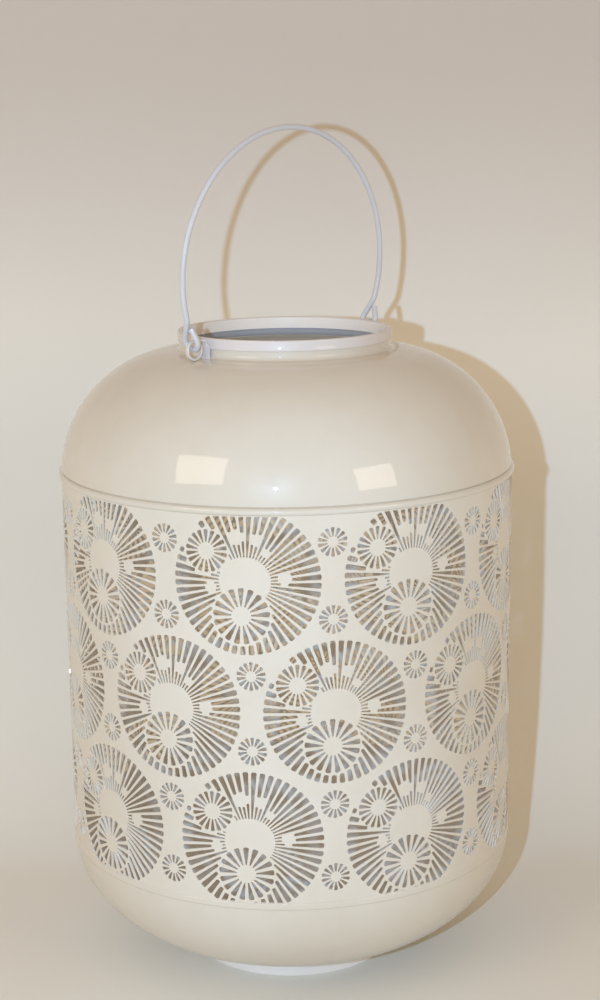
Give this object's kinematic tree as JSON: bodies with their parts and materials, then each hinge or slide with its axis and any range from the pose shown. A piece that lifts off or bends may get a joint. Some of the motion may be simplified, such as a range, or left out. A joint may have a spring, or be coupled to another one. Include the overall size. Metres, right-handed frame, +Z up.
{
  "type": "pierced metal lantern",
  "caption": "Round enamelled metal lantern: a pierced cylindrical sheet between a spun bowl and a spun dome, with an open collared neck and a swinging wire handle.",
  "frame": {"origin": "centre of the foot ring's underside, where the lantern's axis meets the surface it stands on", "axes": "+Z up along the lantern's axis, X through the two ears of the handle, +Y the side that the handle's standing arch leans away from"},
  "size_m": [0.283, 0.283, 0.5229],
  "materials": {
    "cream_enamel": "gloss",
    "white_enamel": "gloss"
  },
  "bodies": {
    "lantern": {"foot_ring": "white_enamel", "bottom_bowl": "cream_enamel", "candle_plate": "cream_enamel", "pierced_sheet": "cream_enamel", "seam_strip": "cream_enamel", "top_dome": "cream_enamel", "neck_collar": "white_enamel", "ear_left": "white_enamel", "ear_right": "white_enamel"},
    "handle": {"handle": "white_enamel"}
  },
  "joints": [
    {"name": "handle_swing", "type": "hinge", "parent": "lantern", "child": "handle", "pos_m": [0, 0, 0.39788], "axis": [1, 0, 0], "range_deg": [-104, 97]}
  ]
}
